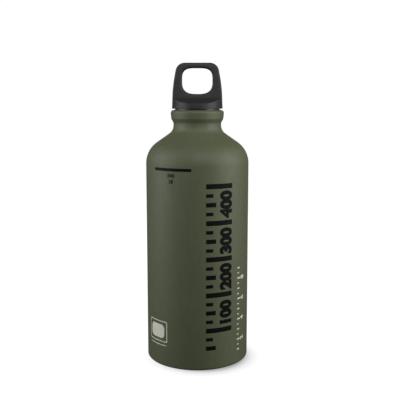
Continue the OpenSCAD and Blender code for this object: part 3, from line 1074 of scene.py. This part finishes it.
BIG_AZIMUTH = 9.5
quarter = 25 * MILLILITRE
big_scale = scale_object(
    "big_scale", black_ink, 19, level(2 * quarter), level(3 * quarter) - level(2 * quarter),
    [(7 * mm, 3 * mm), (19.8 * mm, 3.4 * mm), (5 * mm, 2.4 * mm)])
print_on_body(big_scale, black_ink, BIG_AZIMUTH, 0)
big_numbers = join_art("big_numbers", [
    number_art(str(i * 100), 10 * mm, 14.8 * mm, level((i * 100 + 50) * MILLILITRE), 0.065,
               upright=False) for i in range(1, 5)])
print_on_body(big_numbers, black_ink, BIG_AZIMUTH, 2)

SMALL_AZIMUTH = 50
small_scale = scale_object(
    "small_scale", white_ink, 17, level(OUNCE), level(1.5 * OUNCE) - level(OUNCE),
    [(2.6 * mm, 0.9 * mm), (3.4 * mm, 1 * mm), (1.8 * mm, 0.8 * mm)])
print_on_body(small_scale, white_ink, SMALL_AZIMUTH, 0)
small_numbers = join_art("small_numbers", [
    number_art(str(i), 4.2 * mm, 6 * mm, level(i * OUNCE), 0.03, upright=False)
    for i in (2, 4, 6, 8)])
print_on_body(small_numbers, white_ink, SMALL_AZIMUTH, 1)

FILL_LINE_Z = 139.3 * mm
FILL_LINE_W = 29.3 * mm
FILL_LINE_T = 2 * mm
full = (FILL_LINE_Z - empty_z) * inside_area
fill_line = join_art("fill_line", [
    rectangle_art(-FILL_LINE_W / 2, FILL_LINE_Z - FILL_LINE_T / 2,
                  FILL_LINE_W / 2, FILL_LINE_Z + FILL_LINE_T / 2),
    number_art(str(int(full / MILLILITRE // 10 * 10)), 2.8 * mm, 0, FILL_LINE_Z - 4 * mm, 0.03),
    number_art(str(int(full / OUNCE)), 2.8 * mm, 0, FILL_LINE_Z - 8 * mm, 0.03),
])
print_on_body(fill_line, black_ink, -29, 1)

NOTE_W = 19 * mm
NOTE_LOW = 17.8 * mm
NOTE_HIGH = 32.8 * mm
NOTE_MARGIN = 2.6 * mm
note_frame = join_art("note_frame", [
    frame_art(-NOTE_W / 2, NOTE_LOW, NOTE_W / 2, NOTE_HIGH, 1.2 * mm, 0.6 * mm),
    patch_art(-NOTE_W / 2 + NOTE_MARGIN, NOTE_LOW + NOTE_MARGIN, NOTE_W / 2 - NOTE_MARGIN,
              NOTE_HIGH - NOTE_MARGIN, 3 * mm),
    rectangle_art(-NOTE_W / 2 + mm, NOTE_LOW - 2.6 * mm, NOTE_W / 2 - mm, NOTE_LOW - 2.1 * mm),
])
print_on_body(note_frame, white_ink, -50, 3)

# %% [markdown]
# ## The camera
# The photograph was taken from slightly above the middle of the bottle, with a lens that is
# long enough to keep the sides nearly parallel. The distance and tilt were worked out from the
# outline of the bottle: how far the base and the rim bulge gives the height of the camera.

# %% Camera
CAMERA_AT = (1.9 * mm, -484.9 * mm, 184.1 * mm)
TILT_DOWN = math.radians(8.186)
LENS = 61.17

camera = link(bpy.data.objects.new("camera", bpy.data.cameras.new("camera")))
camera.data.lens = LENS
camera.location = CAMERA_AT
camera.rotation_euler = (math.pi / 2 - TILT_DOWN, 0, 0)
scene.camera = camera

# %% [markdown]
# ## The studio
# Two tall soft boxes stand left and right of the bottle and give it the two upright lights that
# show its roundness, with a darker middle. A weak lamp overhead lights the shoulder. The floor
# and the surroundings look white to the camera alone, so that the white doesn't wash out the
# paint. The floor's real shadow is faint; the soft shadow round the foot is painted into its glow.

# %% Lamps, floor and surroundings


def soft_box(name, place, target, width, height, power):
    data = bpy.data.lights.new(name, "AREA")
    data.shape = "RECTANGLE"
    data.size, data.size_y = width, height
    data.energy = power
    obj = link(bpy.data.objects.new(name, data))
    obj.location = place
    obj.rotation_euler = (Vector(target) - Vector(place)).to_track_quat("-Z", "Y").to_euler()
    return obj


soft_box("left_box", (-0.60, -0.10, 0.30), (0, 0, 0.14), 0.45, 0.6, 3.85)
soft_box("right_box", (0.56, -0.17, 0.32), (0, 0, 0.14), 0.45, 0.6, 4.5)
soft_box("front_box", (0.03, -0.36, 0.42), (0, 0, 0.14), 0.3, 0.2, 0.86)
back_box = soft_box("back_box", (0, 0.60, 0.30), (0, 0, 0.13), 0.6, 0.5, 3.6)
back_box.visible_glossy = False


def seen_directly(tree):
    """1 for what the camera sees, also through clear things, and 0 for all other rays."""
    rays = tree.nodes.new("ShaderNodeLightPath").outputs
    return math_node(tree, "MAXIMUM", rays["Is Camera Ray"], rays["Is Transmission Ray"])


def make_world(front_level, back_level):
    """White to the camera; to all other rays a soft room that is darker above and behind."""
    world = bpy.data.worlds.new("studio")
    scene.world = world
    world.use_nodes = True
    tree = world.node_tree
    tree.nodes.clear()
    way = tree.nodes.new("ShaderNodeTexCoord").outputs["Generated"]
    parts = add(tree, "ShaderNodeSeparateXYZ", Vector=way)
    forward = add(tree, "ShaderNodeMapRange", Value=parts.outputs[1], From_Min=0.35,
                  From_Max=-0.45, To_Min=back_level, To_Max=front_level)
    upward = add(tree, "ShaderNodeMapRange", Value=parts.outputs[2], From_Min=0.15,
                 From_Max=0.75, To_Min=1.0, To_Max=0.25)
    room = math_node(tree, "MULTIPLY", forward.outputs[0], upward.outputs[0])
    level = add(tree, "ShaderNodeMix", in0=seen_directly(tree), in2=room, in3=1.02)
    glow = add(tree, "ShaderNodeBackground", Color=(1, 1, 1, 1), Strength=level.outputs[0])
    out = tree.nodes.new("ShaderNodeOutputWorld")
    tree.links.new(glow.outputs[0], out.inputs[0])


# Middle, reach, fade and deepest share of the shadow painted into the floor's glow round the foot.
SHADOW_MIDDLE = (4 * mm, -5.5 * mm, 0)
SHADOW_R = 34 * mm
SHADOW_FADE = 5 * mm
SHADOW_DEEPEST = 0.6


def make_floor(bounce, shade, depth):
    """Glows white to the camera, with a soft shadow painted into the glow round the bottle's foot.
    """
    side = 3.0
    floor = mesh_object("floor", [(-side, -side, 0), (side, -side, 0), (side, side, 0),
                                  (-side, side, 0)], [(0, 1, 2, 3)])
    material = bpy.data.materials.new("floor_paper")
    material.use_nodes = True
    tree = material.node_tree
    shader = next(n for n in tree.nodes if n.type == "BSDF_PRINCIPLED")
    shader.inputs["Roughness"].default_value = 1.0
    shader.inputs["Specular IOR Level"].default_value = 0.0
    seen = seen_directly(tree)
    colour = add(tree, "ShaderNodeMix", {"data_type": "RGBA"}, in0=seen,
                 in6=(bounce, bounce, bounce, 1), in7=(shade, shade, shade, 1))
    tree.links.new(colour.outputs[2], shader.inputs["Base Color"])
    shader.inputs["Emission Color"].default_value = (1, 1, 1, 1)
    place = tree.nodes.new("ShaderNodeTexCoord").outputs["Object"]
    away = add(tree, "ShaderNodeVectorMath", {"operation": "DISTANCE"}, in0=place,
               in1=SHADOW_MIDDLE).outputs["Value"]
    # Painted shadow: the glow is lowered most near the foot and fades outwards, by at most
    # SHADOW_DEEPEST.
    outside = math_node(tree, "DIVIDE", math_node(tree, "SUBTRACT", SHADOW_R, away), SHADOW_FADE)
    painted_shadow = math_node(tree, "MULTIPLY", math_node(tree, "EXPONENT", outside), depth)
    level = math_node(tree, "SUBTRACT", 1.0, math_node(tree, "MINIMUM", painted_shadow, SHADOW_DEEPEST))
    glow = math_node(tree, "MULTIPLY", seen, level)
    tree.links.new(glow, shader.inputs["Emission Strength"])
    floor.data.materials.append(material)


make_world(0.22, 0.05)
make_floor(0.04, 0.06, 0.28)
scene.view_settings.view_transform = "Standard"
